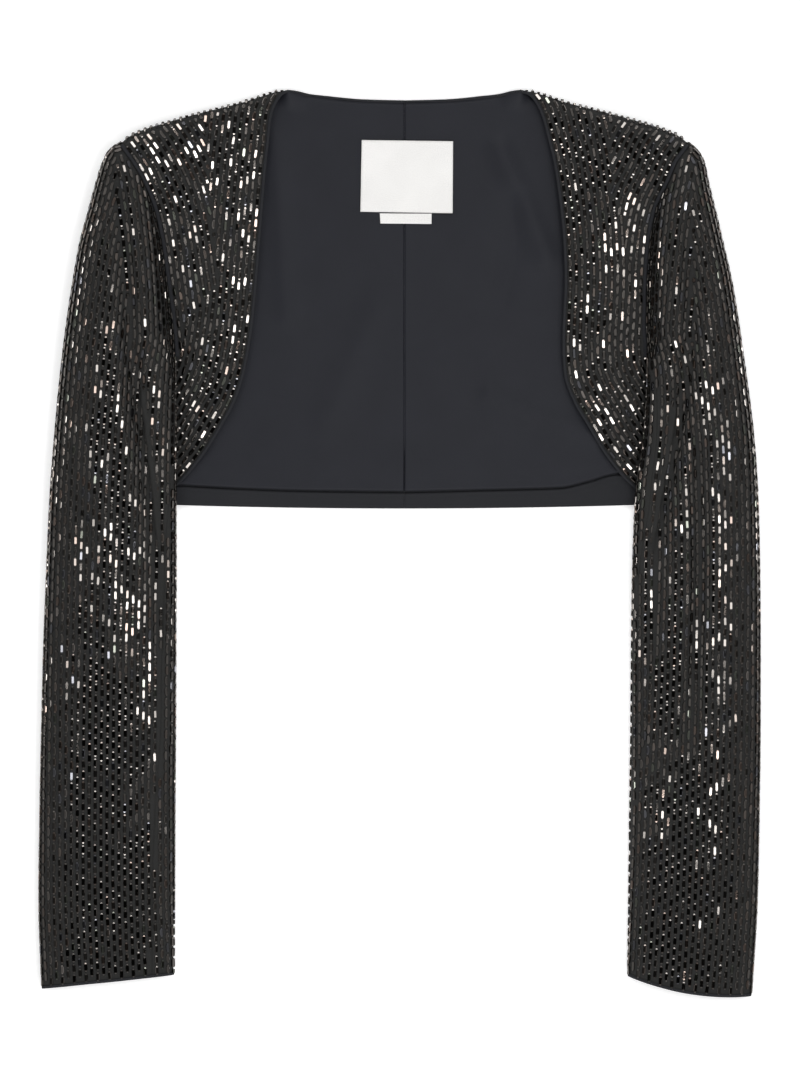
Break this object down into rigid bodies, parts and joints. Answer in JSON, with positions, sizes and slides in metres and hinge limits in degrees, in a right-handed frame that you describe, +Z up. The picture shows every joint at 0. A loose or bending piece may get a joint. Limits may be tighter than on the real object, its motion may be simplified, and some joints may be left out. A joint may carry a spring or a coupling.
{
  "type": "embellished jacket",
  "caption": "Cropped open-front jacket with long set-in sleeves and padded shoulders, laid flat, its outer cloth covered in dark baguette crystals.",
  "frame": {"origin": "middle of the laid-out jacket's bounding box, on the surface it lies on", "axes": "+Z up from the surface, through the back to the fronts; +Y from the cuffs to the shoulders; +X to the right in the picture, the wearer's left side"},
  "size_m": [0.5421, 0.6805, 0.0386],
  "materials": {
    "crystal_cloth": "charcoal cloth covered in dark baguette crystals",
    "lining": "charcoal-navy satin lining",
    "plain_cloth": "matte charcoal cloth",
    "label": "white woven tape"
  },
  "bodies": {
    "root": {"back_left": "crystal_cloth", "back_right": "crystal_cloth", "front_left": "crystal_cloth", "front_right": "crystal_cloth", "sleeve_top_left": "crystal_cloth", "sleeve_top_right": "crystal_cloth", "sleeve_under_left": "crystal_cloth", "sleeve_under_right": "crystal_cloth", "back_lining_left": "lining", "back_lining_right": "lining", "hem_facing_left": "plain_cloth", "hem_facing_right": "plain_cloth", "neck_label": "label", "size_label": "label"}
  },
  "joints": []
}
